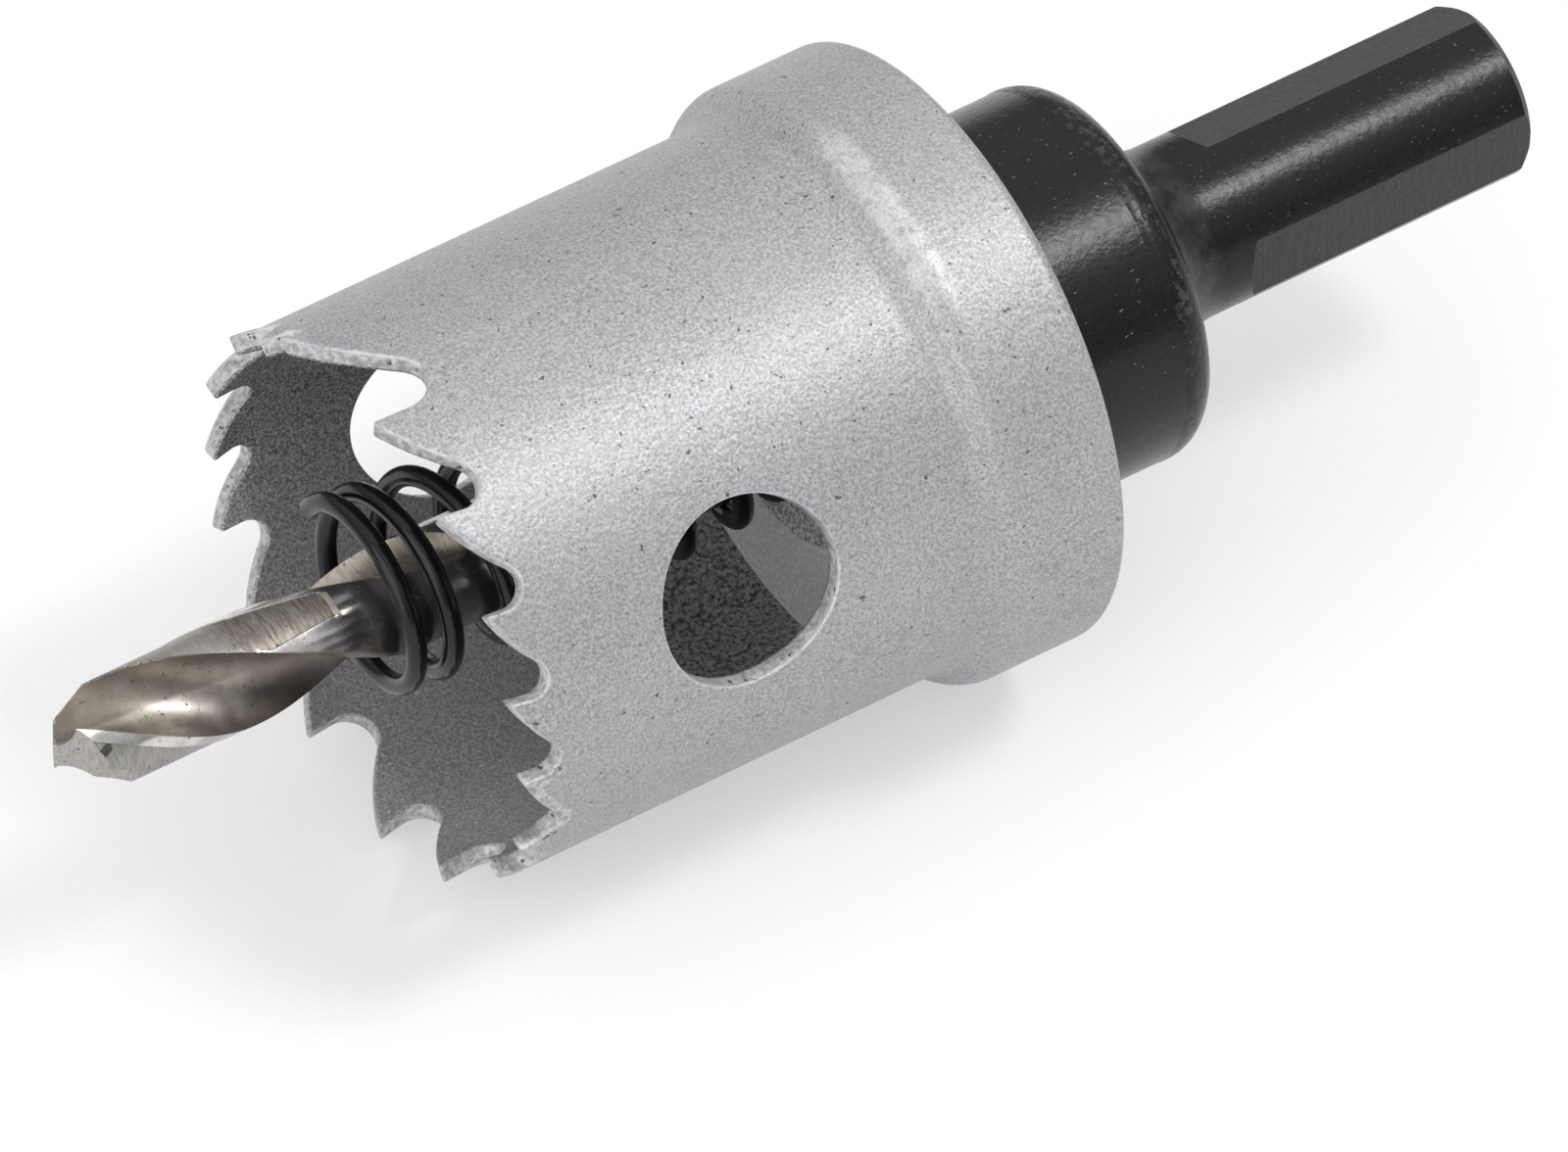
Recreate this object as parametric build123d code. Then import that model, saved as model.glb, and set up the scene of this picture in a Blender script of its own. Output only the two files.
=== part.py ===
from build123d import *
import os
from math import asin, cos, degrees, radians, sin, tan

# Hole saw with a pilot drill, an ejector spring and an arbor with a three-flat shank.
# Every piece is turned or cut about the tool's own axis, Z. Height 0 is the rear face of the
# base ring, heights grow towards the teeth, and angles are counted about Z. At the end the
# saw is laid on its ring with the drill towards -X, and what was angle 0 on the tool looks up.

# Cup wall
CUP_RADIUS = 16.0
WALL = 1.1
TIP_HEIGHT = 37.3

# Windows: their radius, then the height and the angle of each
WINDOW_RADIUS = 5.4
NEAR_WINDOW = (22.3, -69.0)
FAR_WINDOW = (23.3, 106.0)

# Teeth: the angle of the first tip, the pitch from each tip to the next one, and which way
# each tooth is bent out of the wall (1 outwards, -1 inwards, 0 left straight)
FIRST_TIP_ANGLE = 28.0
TOOTH_PITCHES = (11, 14, 22, 19, 19, 20, 26, 26.5, 24, 26.5, 17, 20, 18, 19, 21, 24, 33)
TOOTH_BENDS = (1, -1, 1, 0, -1, 1, 0, -1, 1, 0, -1, 1, 0, -1, 1, 0, -1)
SET_DEPTH = 0.3
BEND_DEPTH_RATIO = 0.8
GULLET_DEPTH_RATIO = 0.46
GULLET_ROUND_RATIO = 0.21
FACE_UNDERCUT_RATIO = 0.03
BACK_SLOPE = 42.0

# Base plate
RING_RADIUS = 17.48
RING_LENGTH = 6.1
RING_REAR_ROUND = 0.6
STEP_LENGTH = 2.8
BASE_THICKNESS = 10.4

# Arbor
THREAD_RADIUS = 7.94
THREAD_CLEARANCE = 0.05
NOSE_STAND_OUT = 0.6
NOSE_CHAMFER = 0.5
COLLAR_RADIUS = 10.9
COLLAR_LENGTH = 8.2
COLLAR_EDGE_LENGTH = 2.0
COLLAR_EDGE_DROP = 0.7
NECK_FACE_WIDTH = 0.6
NECK_LENGTH = 4.6
SHANK_RADIUS = 5.02
SHANK_END = 35.0
SHANK_CHAMFER = 0.45
FLAT_DISTANCE = 4.54
FLAT_START = 16.5
FLAT_RUN_OUT = 0.5
FLAT_ANGLES = (-92.7, 27.3, 147.3)

# Pilot drill
DRILL_RADIUS = 3.0
BORE_CLEARANCE = 0.03
BORE_END_GAP = 0.5
POINT_HEIGHT = 56.7
HOLD_DEPTH = 10.0
HELIX_LEAD = 35.3
FLUTE_HALF_ANGLE = 51.5
WEB_HALF = 0.55
FLUTE_ANGLE = 20.5
FLUTE_ANGLE_HEIGHT = 54.7
LAND_RELIEF = 0.16
MARGIN_ANGLE = 11.0
RELIEF_END = 39.7
RUN_OUT_START = 43.0
RUN_OUT_END = 31.3
POINT_HALF_ANGLE = 67.5
LIP_RELIEF = 0.5
HEEL_RELIEF = 1.8
HEEL_OFFSET = 1.9

# Grub screw that holds the drill, and the flat that it bears on
SCREW_RADIUS = 2.5
SCREW_CLEARANCE = 0.04
SCREW_DISTANCE = 4.4
SCREW_RECESS = 1.2
SCREW_POINT_CHAMFER = 0.6
HEX_ACROSS_FLATS = 2.5
HEX_DEPTH = 2.6
DRILL_FLAT_DEPTH = 0.4
DRILL_FLAT_LENGTH = 6.5

# Ejector spring. Each station has the turns from the front end, the height of the wire, the
# radius of the coil and how far the coil hangs off the axis.
WIRE_RADIUS = 0.59
SPRING_END_ANGLE = 76.0
SPRING_HANG_ANGLE = 56.0
FRONT_STATIONS = (
    (0.04, 36.9, 5.45, 0.9),
    (0.12, 36.85, 5.35, 0.9),
    (0.3, 36.85, 5.3, 0.9),
    (0.6, 36.6, 5.3, 0.9),
    (0.83, 36.2, 5.3, 0.85),
    (1.05, 35.2, 5.3, 0.8),
    (1.3, 34.65, 5.3, 0.75),
    (1.58, 34.35, 5.25, 0.7),
    (1.82, 33.5, 5.15, 0.6),
    (2.04, 32.1, 5.1, 0.6),
    (3.04, 28.4, 4.7, 0.5),
)
ACTIVE_PITCH = 3.7
ACTIVE_END_RADIUS = 4.2
COIL_GAP = 0.05
STEPS_PER_TURN = 16
BEND_SHARE = 0.45

# Sizes that follow from those above
INNER_RADIUS = CUP_RADIUS - WALL
WALL_START = RING_LENGTH + STEP_LENGTH
NOSE_HEIGHT = BASE_THICKNESS + NOSE_STAND_OUT
COLLAR_END = -COLLAR_LENGTH - COLLAR_EDGE_LENGTH
SCREW_ANGLE = FLAT_ANGLES[2]
SCREW_SEAT = DRILL_RADIUS - DRILL_FLAT_DEPTH
FULL_TURN = 360.0


def polar(radius, angle):
    """Return the point at this radius and angle about the axis."""
    return (radius * cos(radians(angle)), radius * sin(radians(angle)))


def spun(edges, angle=FULL_TURN):
    """Spin a closed outline, drawn as radius and height, about the tool's axis."""
    return revolve(Plane.XZ * make_face(edges), Axis.Z, angle)


def radial(angle, height):
    """Return a plane at the axis whose Z points outwards at this angle and X along the axis."""
    x, y = polar(1, angle)
    return Plane(origin=(0, 0, height), x_dir=(0, 0, 1), z_dir=(x, y, 0))


def tooth_layout():
    """Return the tip angle of each tooth with the chord and the depth of the gullet after it."""
    layout = []
    angle = FIRST_TIP_ANGLE
    for pitch in TOOTH_PITCHES:
        chord = 2 * CUP_RADIUS * sin(radians(pitch / 2))
        layout.append((angle, pitch, chord, GULLET_DEPTH_RATIO * chord))
        angle += pitch
    return layout


def gullet_cutter(angle, pitch, chord, depth):
    """Return the space between two teeth: steep face, round bottom and long convex back."""
    round_radius = GULLET_ROUND_RATIO * chord
    centre = (round_radius - FACE_UNDERCUT_RATIO * chord - chord / 2, TIP_HEIGHT - depth + round_radius)

    def on_round(turn):
        x, y = polar(round_radius, turn)
        return (centre[0] + x, centre[1] + y)

    face_tip = (-chord / 2, TIP_HEIGHT)
    back_tip = (chord / 2, TIP_HEIGHT)
    face_foot = on_round(180)
    back_foot = on_round(270 + BACK_SLOPE)
    bottom = ThreePointArc(face_foot, on_round(225), back_foot)
    back = TangentArc(back_foot, back_tip, tangent=polar(1, BACK_SLOPE))
    lid = Polyline(back_tip, (chord / 2, TIP_HEIGHT + WALL), (-chord / 2, TIP_HEIGHT + WALL), face_tip)
    outline = make_face([Line(face_tip, face_foot), bottom, back, lid])
    x, y = polar(1, angle + pitch / 2)
    inside = INNER_RADIUS * cos(radians(pitch / 2)) - 2 * SET_DEPTH - WALL
    wall_plane = Plane(origin=(inside * x, inside * y, 0), x_dir=(-y, x, 0), z_dir=(x, y, 0))
    return extrude(wall_plane * outline, amount=CUP_RADIUS + WALL - inside)


def saw_cup():
    """Return the toothed wall: a tube, its bent tooth blanks, the gullets and two windows."""
    layout = tooth_layout()
    deepest = max(depth for angle, pitch, chord, depth in layout)
    crown = TIP_HEIGHT - deepest - WALL
    cup = spun(Polyline(
        (INNER_RADIUS, WALL_START), (CUP_RADIUS, WALL_START),
        (CUP_RADIUS, crown), (INNER_RADIUS, crown), close=True))
    bottoms = [
        angle + degrees(asin((GULLET_ROUND_RATIO - FACE_UNDERCUT_RATIO) * chord / CUP_RADIUS))
        for angle, pitch, chord, depth in layout]
    for index, bend in enumerate(TOOTH_BENDS):
        shift = bend * SET_DEPTH
        start = TIP_HEIGHT - BEND_DEPTH_RATIO * min(layout[index - 1][3], layout[index][3])
        blank = spun(Polyline(
            (INNER_RADIUS, crown), (CUP_RADIUS, crown), (CUP_RADIUS, start),
            (CUP_RADIUS + shift, TIP_HEIGHT), (INNER_RADIUS + shift, TIP_HEIGHT),
            (INNER_RADIUS, start), close=True), (bottoms[index] - bottoms[index - 1]) % FULL_TURN)
        cup += Rot(0, 0, bottoms[index - 1]) * blank
    for angle, pitch, chord, depth in layout:
        cup -= gullet_cutter(angle, pitch, chord, depth)
    for height, angle in (NEAR_WINDOW, FAR_WINDOW):
        cup -= extrude(radial(angle, height) * Circle(WINDOW_RADIUS), amount=RING_RADIUS)
    return cup


def base_plate():
    """Return the turned base: ring, smooth step, spigot inside the wall and threaded hole."""
    hole = THREAD_RADIUS + THREAD_CLEARANCE
    ring_edge = RING_RADIUS - RING_REAR_ROUND
    step_middle = ((RING_RADIUS + CUP_RADIUS) / 2, RING_LENGTH + STEP_LENGTH / 2)
    rear = TangentArc((ring_edge, 0), (RING_RADIUS, RING_REAR_ROUND), tangent=(1, 0))
    shoulder = TangentArc((RING_RADIUS, RING_LENGTH), step_middle, tangent=(0, 1))
    hollow = TangentArc(step_middle, (CUP_RADIUS, WALL_START), tangent=shoulder % 1)
    return spun([
        Line((hole, 0), (ring_edge, 0)), rear,
        Line((RING_RADIUS, RING_REAR_ROUND), (RING_RADIUS, RING_LENGTH)), shoulder, hollow,
        Polyline(
            (CUP_RADIUS, WALL_START), (INNER_RADIUS, WALL_START), (INNER_RADIUS, BASE_THICKNESS),
            (hole, BASE_THICKNESS), (hole, 0))])


def arbor():
    """Return the arbor: nose, collar, hollowed neck and shank, with its bore and flats."""
    edge_radius = COLLAR_RADIUS - COLLAR_EDGE_DROP
    neck_radius = edge_radius - NECK_FACE_WIDTH
    neck_end = COLLAR_END - NECK_LENGTH
    bulge = cos(radians(45))
    neck_middle = (
        neck_radius - (neck_radius - SHANK_RADIUS) * bulge, neck_end + NECK_LENGTH * bulge)
    collar_edge = ThreePointArc(
        (COLLAR_RADIUS, -COLLAR_LENGTH),
        (COLLAR_RADIUS - COLLAR_EDGE_DROP * (1 - bulge), -COLLAR_LENGTH - COLLAR_EDGE_LENGTH * bulge),
        (edge_radius, COLLAR_END))
    body = spun([
        Polyline(
            (0, NOSE_HEIGHT), (THREAD_RADIUS - NOSE_CHAMFER, NOSE_HEIGHT),
            (THREAD_RADIUS, NOSE_HEIGHT - NOSE_CHAMFER), (THREAD_RADIUS, 0),
            (COLLAR_RADIUS, 0), (COLLAR_RADIUS, -COLLAR_LENGTH)),
        collar_edge,
        Line((edge_radius, COLLAR_END), (neck_radius, COLLAR_END)),
        ThreePointArc((neck_radius, COLLAR_END), neck_middle, (SHANK_RADIUS, neck_end)),
        Polyline(
            (SHANK_RADIUS, neck_end), (SHANK_RADIUS, SHANK_CHAMFER - SHANK_END),
            (SHANK_RADIUS - SHANK_CHAMFER, -SHANK_END), (0, -SHANK_END), (0, NOSE_HEIGHT))])
    for angle in FLAT_ANGLES:
        body -= Rot(0, 0, angle) * flat_cutter()
    bore_depth = NOSE_HEIGHT + HOLD_DEPTH + BORE_END_GAP
    bore_mouth = Plane(origin=(0, 0, NOSE_HEIGHT), z_dir=(0, 0, -1))
    body -= extrude(bore_mouth * Circle(DRILL_RADIUS + BORE_CLEARANCE), amount=bore_depth)
    screw_plane = radial(SCREW_ANGLE, -SCREW_DISTANCE)
    return body - extrude(screw_plane * Circle(SCREW_RADIUS), amount=2 * COLLAR_RADIUS)


def flat_cutter():
    """Return what the grinding of one shank flat removes, with its short rising end."""
    rise = SHANK_RADIUS - FLAT_DISTANCE
    slope_end = SHANK_RADIUS + rise
    outline = Polyline(
        (FLAT_DISTANCE, -SHANK_END - rise), (FLAT_DISTANCE, -FLAT_START - FLAT_RUN_OUT),
        (slope_end, -FLAT_START + FLAT_RUN_OUT), (slope_end, -SHANK_END - rise), close=True)
    return extrude(Plane.XZ * make_face(outline), amount=SHANK_RADIUS, both=True)


def flute_section(margin):
    """Return the drill's section at its flute angle, with its lands relieved or whole."""
    land_radius = DRILL_RADIUS - (LAND_RELIEF if margin else 0)
    section = Circle(land_radius)
    reach = DRILL_RADIUS * cos(radians(FLUTE_HALF_ANGLE))
    flute_centre = (DRILL_RADIUS ** 2 - WEB_HALF ** 2) / (2 * (reach - WEB_HALF))
    flute_radius = flute_centre - WEB_HALF
    for side in (0, FULL_TURN / 2):
        if margin:
            lip = side - FLUTE_HALF_ANGLE
            sector = make_face(Polyline(
                (0, 0), polar(2 * DRILL_RADIUS, lip - MARGIN_ANGLE), polar(2 * DRILL_RADIUS, lip), close=True))
            section += sector & Circle(DRILL_RADIUS)
    for side in (0, FULL_TURN / 2):
        section -= Rot(0, 0, side) * Pos(flute_centre, 0) * Circle(flute_radius)
    return section


def twisted(section, start, end):
    """Extrude a section between two heights, turning it with the flutes' helix."""
    first_angle = FLUTE_ANGLE + FULL_TURN * (start - FLUTE_ANGLE_HEIGHT) / HELIX_LEAD
    face = (Pos(0, 0, start) * Rot(0, 0, first_angle) * section).face()
    return Solid.extrude_linear_with_rotation(
        face, (0, 0, start), (0, 0, end - start), FULL_TURN * (end - start) / HELIX_LEAD)


def point_cutter(angle, offset, relief):
    """Return what lies above one ground flank, for the lip that looks out at this angle."""
    lip_slope = 1 / tan(radians(POINT_HALF_ANGLE))
    lip = Vector(*polar(1, angle), 0)
    trail = Vector(*polar(1, angle - 90), 0)
    normal = lip * lip_slope + trail * relief + Vector(0, 0, 1)
    start = Vector(0, 0, POINT_HEIGHT + offset * (relief - LIP_RELIEF))
    size = 2 * POINT_HEIGHT
    return Plane(origin=start, z_dir=normal) * Box(
        size, size, size, align=(Align.CENTER, Align.CENTER, Align.MIN))


def pilot_drill():
    """Return the twist drill: point, relieved lands, flutes with their run-out, and shank."""
    shank = extrude(Pos(0, 0, -HOLD_DEPTH) * Circle(DRILL_RADIUS), amount=HOLD_DEPTH + RUN_OUT_END)
    run_out = TangentArc((WEB_HALF, RUN_OUT_START), (DRILL_RADIUS, RUN_OUT_END), tangent=(0, -1))
    core = spun([
        run_out,
        Polyline(
            (DRILL_RADIUS, RUN_OUT_END), (DRILL_RADIUS, 0), (0, 0), (0, RUN_OUT_START),
            (WEB_HALF, RUN_OUT_START))])
    plain_part = twisted(flute_section(False), RUN_OUT_END - WEB_HALF, RELIEF_END)
    relieved_part = twisted(flute_section(True), RELIEF_END, POINT_HEIGHT + WEB_HALF)
    drill = shank + core + plain_part + relieved_part
    lip_angle = FLUTE_ANGLE - FLUTE_HALF_ANGLE
    for side in (0, FULL_TURN / 2):
        drill -= point_cutter(lip_angle + side, 0, LIP_RELIEF)
        drill -= point_cutter(lip_angle + side, HEEL_OFFSET, HEEL_RELIEF)
    flat = radial(SCREW_ANGLE, -SCREW_DISTANCE) * Pos(0, 0, SCREW_SEAT) * Box(
        DRILL_FLAT_LENGTH, 2 * DRILL_RADIUS, DRILL_RADIUS, align=(Align.CENTER, Align.CENTER, Align.MIN))
    return drill - flat


def set_screw():
    """Return the grub screw, pointed at the drill, with a hexagon socket at its outer end."""
    radius = SCREW_RADIUS - SCREW_CLEARANCE
    top = COLLAR_RADIUS - SCREW_RECESS
    body = spun(Polyline(
        (0, SCREW_SEAT), (radius - SCREW_POINT_CHAMFER, SCREW_SEAT),
        (radius, SCREW_SEAT + SCREW_POINT_CHAMFER), (radius, top), (0, top), close=True))
    socket = RegularPolygon(HEX_ACROSS_FLATS / 2, 6, major_radius=False)
    body -= extrude(Pos(0, 0, top) * socket, amount=-HEX_DEPTH)
    return radial(SCREW_ANGLE, -SCREW_DISTANCE).location * body


def spring_stations():
    """Return the spring's stations from its front end to the turn that sits on the nose."""
    seat = NOSE_HEIGHT + COIL_GAP + WIRE_RADIUS
    grip = DRILL_RADIUS + COIL_GAP + WIRE_RADIUS
    closed = seat + 2 * WIRE_RADIUS + COIL_GAP
    last_turn, last_height = FRONT_STATIONS[-1][:2]
    active_end = last_turn + (last_height - closed) / ACTIVE_PITCH
    return FRONT_STATIONS + (
        (active_end - 1, closed + ACTIVE_PITCH, ACTIVE_END_RADIUS, 0.0),
        (active_end, closed, grip, 0.0),
        (active_end + 1, seat, grip, 0.0))


def between(stations, turn):
    """Return the height, radius and hang at this turn, in line between two stations."""
    for before, after in zip(stations, stations[1:]):
        if turn <= after[0]:
            break
    share = (turn - before[0]) / (after[0] - before[0])
    return [low + share * (high - low) for low, high in zip(before[1:], after[1:])]


def ejector_spring():
    """Return the wire spring, wound right-handed and slightly conical round the drill."""
    stations = spring_stations()
    first_turn = stations[0][0]
    turns = stations[-1][0] - first_turn
    steps = round(turns * STEPS_PER_TURN)
    half_step = FULL_TURN / STEPS_PER_TURN / 2
    points = []
    for step in range(steps + 1):
        turn = first_turn + turns * step / steps
        height, radius, hang = between(stations, turn)
        x, y = polar(radius / cos(radians(half_step)), SPRING_END_ANGLE - FULL_TURN * turn)
        hang_x, hang_y = polar(hang, SPRING_HANG_ANGLE)
        points.append(Vector(x + hang_x, y + hang_y, height))
    bends = []
    for before, corner, after in zip(points, points[1:], points[2:]):
        run = min((corner - before).length, (after - corner).length)
        half_turn = (corner - before).get_angle(after - corner) / 2
        bends.append(BEND_SHARE * run / tan(radians(half_turn)))
    path = FilletPolyline(*points, radius=bends)
    return sweep(Plane(origin=path @ 0, z_dir=path % 0) * Circle(WIRE_RADIUS), path)


def laid_down(piece):
    """Lay a piece as the saw rests: on its ring, axis along X, drill towards -X."""
    shift = (POINT_HEIGHT - SHANK_END) / 2
    return Pos(shift, 0, RING_RADIUS) * Rot(0, -90, 0) * piece


PIECES = {
    "saw_cup": saw_cup,
    "base_plate": base_plate,
    "arbor": arbor,
    "pilot_drill": pilot_drill,
    "ejector_spring": ejector_spring,
    "set_screw": set_screw,
}

os.makedirs("parts", exist_ok=True)
for name, build in PIECES.items():
    export_step(laid_down(build()), f"parts/{name}.step")
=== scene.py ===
# %% [markdown]
# # A hole saw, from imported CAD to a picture
# A hole saw cuts a round hole with a ring of teeth. This one has a painted steel cup, a thick
# base plate, a blackened arbor with a three-flat shank, a pilot drill that steadies the cut, a
# spring that pushes the plug out and a grub screw that holds the drill. The CAD solids are
# already packed as a frame. Here each of them gets the look of the real piece.

# %% Load the frame
from math import asin, atan2, ceil, cos, degrees, pi, radians, sin, sqrt

import bmesh
import bpy
import numpy as np
from mathutils import Matrix, Vector
from mathutils.geometry import delaunay_2d_cdt


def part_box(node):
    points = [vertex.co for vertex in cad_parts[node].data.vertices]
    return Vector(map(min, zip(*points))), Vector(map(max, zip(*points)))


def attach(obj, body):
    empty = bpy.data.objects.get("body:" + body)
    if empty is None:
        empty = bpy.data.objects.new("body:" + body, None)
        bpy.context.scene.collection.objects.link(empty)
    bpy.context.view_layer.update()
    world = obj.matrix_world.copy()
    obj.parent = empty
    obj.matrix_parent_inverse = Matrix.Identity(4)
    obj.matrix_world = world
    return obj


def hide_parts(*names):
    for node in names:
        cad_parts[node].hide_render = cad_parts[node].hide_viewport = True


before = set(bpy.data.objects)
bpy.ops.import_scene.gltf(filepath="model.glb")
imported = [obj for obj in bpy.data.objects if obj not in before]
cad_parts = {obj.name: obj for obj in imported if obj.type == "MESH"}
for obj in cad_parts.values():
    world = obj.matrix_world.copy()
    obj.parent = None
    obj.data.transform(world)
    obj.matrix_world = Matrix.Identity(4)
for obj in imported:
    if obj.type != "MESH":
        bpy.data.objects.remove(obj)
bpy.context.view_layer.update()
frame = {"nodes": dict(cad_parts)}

print("pieces of the frame:", ", ".join(frame["nodes"]))

# %% [markdown]
# ## Tool coordinates
# Every piece is turned or rolled about the tool's axis, so places are easiest to give as a
# height over the rear face of the base ring, a radius and an angle, in millimetres and
# degrees. The frame says where that axis lies: the ring is the widest piece and the saw rests
# on it. Angle 0 looks up and angle 90 looks along +Y.

# %% Tool coordinates
MM = 0.001
ring_low, ring_high = [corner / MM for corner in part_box("base_plate")]
cup_low, cup_high = [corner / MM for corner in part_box("saw_cup")]
RING_RADIUS = (ring_high.y - ring_low.y) / 2
AXIS_HEIGHT = (ring_high.z + ring_low.z) / 2
REAR_X = ring_high.x
TIP_HEIGHT = REAR_X - cup_low.x
WALL_START = REAR_X - cup_high.x


def place(height, radius, angle):
    """Return the point of the row frame, in metres, at this place on the tool."""
    turn = radians(angle)
    return Vector((REAR_X - height, radius * sin(turn), AXIS_HEIGHT + radius * cos(turn))) * MM


print(f"ring radius {RING_RADIUS:.2f}, tooth tips at {TIP_HEIGHT:.2f} mm")

# %% [markdown]
# ## Shader and geometry maths
# A node tree reads better as a formula. Value wraps one output socket, and its operators add
# Math nodes. Tree.node makes any other node: its settings first, then its input sockets.

# %% A socket that can be calculated with


class Value:
    """One output socket. Plain arithmetic on it adds Math nodes to its tree."""

    def __init__(self, tree, socket):
        self.tree = tree
        self.socket = socket

    def math(self, operation, *others):
        """Return the result of one Math node on this value and the others."""
        sockets = dict(enumerate([self, *others]))
        return self.tree.node("ShaderNodeMath", {"operation": operation}, sockets)

    def __add__(self, other):
        return self.math("ADD", other)

    def __sub__(self, other):
        return self.math("SUBTRACT", other)

    def __mul__(self, other):
        return self.math("MULTIPLY", other)

    def __rsub__(self, other):
        return self.tree.node("ShaderNodeMath", {"operation": "SUBTRACT"}, {0: other, 1: self})

    __radd__ = __add__
    __rmul__ = __mul__

    def steps(self, low, high):
        """Return a smooth step from 0 at low to 1 at high, or down where low is the larger."""
        ends = {1: low, 2: high} if low < high else {1: high, 2: low, 3: 1, 4: 0}
        smooth = {"interpolation_type": "SMOOTHSTEP"}
        return self.tree.node("ShaderNodeMapRange", smooth, {0: self, **ends})

    def band(self, middle, half_width, blur):
        """Return 1 where this value lies within half_width of middle, fading over blur."""
        return (self - middle).math("ABSOLUTE").steps(half_width + blur, half_width)


# %% A tree that makes its nodes


class Tree:
    """A node tree with one short call for each node."""

    def __init__(self, tree):
        self.tree = tree

    def node(self, kind, settings=None, sockets=None, output=0):
        """Return one output of a new node, after its settings and its sockets are set."""
        made = self.tree.nodes.new(kind)
        for name, value in (settings or {}).items():
            setattr(made, name, value)
        for key, value in (sockets or {}).items():
            if isinstance(value, Value):
                self.tree.links.new(value.socket, made.inputs[key])
            else:
                made.inputs[key].default_value = value
        return Value(self, made.outputs[output])

    def outputs_of(self, value):
        """Return every output of the node that made this value."""
        return [Value(self, socket) for socket in value.socket.node.outputs]

    def vector(self, operation, *inputs):
        """Return the result of one Vector Math node."""
        return self.node("ShaderNodeVectorMath", {"operation": operation}, dict(enumerate(inputs)))

    def combine(self, x, y, z):
        """Return a vector of three numbers."""
        return self.node("ShaderNodeCombineXYZ", None, {0: x, 1: y, 2: z})


# %% [markdown]
# ## Finishes
# A material reads the same tool coordinates as the shapes do, from the Object coordinates of
# an object that stands at the origin. So grain can run round the axis, and wear can sit where
# the real piece rubs.

# %% A material in tool coordinates


class Finish(Tree):
    """A procedural material that knows where each point lies on the tool."""

    def __init__(self, name):
        self.material = bpy.data.materials.new(name)
        self.material.use_nodes = True
        super().__init__(self.material.node_tree)
        self.shader = self.tree.nodes["Principled BSDF"]
        coordinates = self.node("ShaderNodeTexCoord", output="Object")
        self.point = self.vector("MULTIPLY", coordinates, (1 / MM, 1 / MM, 1 / MM))
        x, y, z = self.outputs_of(self.node("ShaderNodeSeparateXYZ", None, {0: self.point}))
        self.across = y
        self.up = z - AXIS_HEIGHT
        self.height = REAR_X - x
        self.radius = (self.across * self.across + self.up * self.up).math("SQRT")
        self.turn = self.across.math("ARCTAN2", self.up) * degrees(1)

    def kept(self, name):
        """Return a number that the mesh keeps for each point, or 0 where it has none."""
        return self.node("ShaderNodeAttribute", {"attribute_name": name}, output="Fac")

    def noise(self, size, detail=2, rough=0.6, at=None, seed=0):
        """Return a noise of this grain size in millimetres, from 0 to 1."""
        source = at or self.point
        if seed:
            source = self.vector("ADD", source, (seed * 7.3, seed * 3.1, seed * 5.7))
        sockets = {"Vector": source, "Scale": 1 / size, "Detail": detail, "Roughness": rough}
        return self.node("ShaderNodeTexNoise", None, sockets)

    def mix(self, share, first, second):
        """Return a colour between two colours. One number stands for a grey."""
        ends = []
        for colour in (first, second):
            if isinstance(colour, float):
                colour = (colour, colour, colour)
            ends.append((*colour, 1) if isinstance(colour, tuple) else colour)
        return self.node("ShaderNodeMix", {"data_type": "RGBA"}, {0: share, 6: ends[0], 7: ends[1]}, 2)

    def bump(self, depth):
        """Return a normal bent by a depth given in millimetres."""
        return self.node("ShaderNodeBump", None, {"Height": depth, "Distance": MM, "Strength": 1})

    def wear(self, **looks):
        """Set the shader's sockets, to a number or to a value of this tree."""
        for name, look in looks.items():
            socket = self.shader.inputs[name.replace("_", " ").title().replace("Ior", "IOR")]
            if isinstance(look, Value):
                self.tree.links.new(look.socket, socket)
            else:
                socket.default_value = look
        print(f"{self.material.name}: {len(self.tree.nodes)} nodes")
        return self.material


# %% [markdown]
# ## Camera
# The photograph looks down on the saw from its drill end. Its edges along the axis stay nearly
# parallel, so the lens is long and stands far away. The camera's place and its three
# directions come from fitting the ring, the wall, the collar and the shank to their outlines.
# Three directions as a matrix are safer than angles, which depend on their order.

# %% Camera
CAMERA_PLACE = (-0.4959, -0.7493, 0.9304)
CAMERA_RIGHT = (0.8343, -0.5513, 0.0011)
CAMERA_UP = (0.3948, 0.5989, 0.6967)
CAMERA_BACK = (-0.3848, -0.5809, 0.7173)
CAMERA_LENS = 549.9


def in_scene(name, data):
    """Return a new object of the scene with this data."""
    made = bpy.data.objects.new(name, data)
    bpy.context.scene.collection.objects.link(made)
    return made


camera_data = bpy.data.cameras.new("camera")
camera_data.lens = CAMERA_LENS
camera_data.sensor_width = 36
camera_data.clip_end = 10
camera = in_scene("camera", camera_data)
turned = Matrix((CAMERA_RIGHT, CAMERA_UP, CAMERA_BACK)).transposed().to_4x4()
camera.matrix_world = Matrix.Translation(CAMERA_PLACE) @ turned
bpy.context.scene.camera = camera
print(f"camera: {CAMERA_LENS} mm lens, {Vector(CAMERA_PLACE).length:.2f} m away")

# %% [markdown]
# ## Surround and lamps
# Shiny metal shows what stands round it. Here that is a studio that is bright overhead and
# dim at the horizon, which gives the black arbor and the drill their dark sides. A small
# soft box above makes the highlight along the cup and the arbor, and a large one shines into
# the cup's mouth. A picture of a real studio would work too, but a gradient needs no file.

# %% Surround
OVERHEAD = 0.95
HORIZON = 0.26
FULL_HEIGHT = 0.9

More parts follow.
